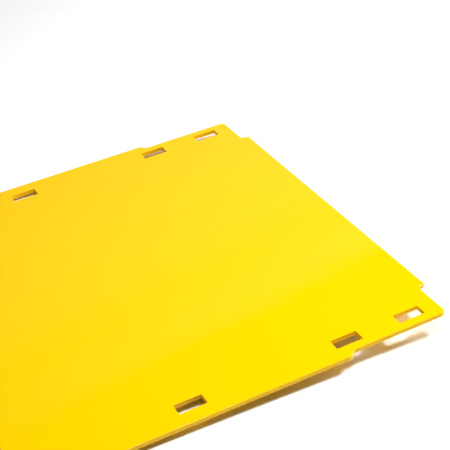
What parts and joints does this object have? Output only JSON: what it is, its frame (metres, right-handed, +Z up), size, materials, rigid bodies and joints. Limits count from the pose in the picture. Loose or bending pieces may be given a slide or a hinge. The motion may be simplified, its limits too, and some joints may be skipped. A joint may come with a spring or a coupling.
{
  "type": "spine board",
  "caption": "Thin flat patient board with stepped-in end corners, a shallow tongue at each end and a row of strap slots along each long side, bonded as a sandwich panel.",
  "frame": {"origin": "middle of the flat underside, on the surface the board lies on", "axes": "+X along the board towards the end that the picture shows, +Y across it to its left, +Z up out of the top face"},
  "size_m": [1.8536, 0.43, 0.0044],
  "materials": {
    "gelcoat_skin": "gloss",
    "edge_laminate": "satin",
    "stringer_laminate": "satin",
    "core_foam": "matte"
  },
  "bodies": {
    "root": {"bottom_skin": "gelcoat_skin", "top_skin": "gelcoat_skin", "right_side_rail": "edge_laminate", "left_side_rail": "edge_laminate", "head_end_rail": "edge_laminate", "foot_end_rail": "edge_laminate", "stringer_1": "stringer_laminate", "stringer_2": "stringer_laminate", "stringer_3": "stringer_laminate", "stringer_4": "stringer_laminate", "foam_core_1": "core_foam", "foam_core_2": "core_foam", "foam_core_3": "core_foam", "foam_core_4": "core_foam", "foam_core_5": "core_foam"}
  },
  "joints": []
}
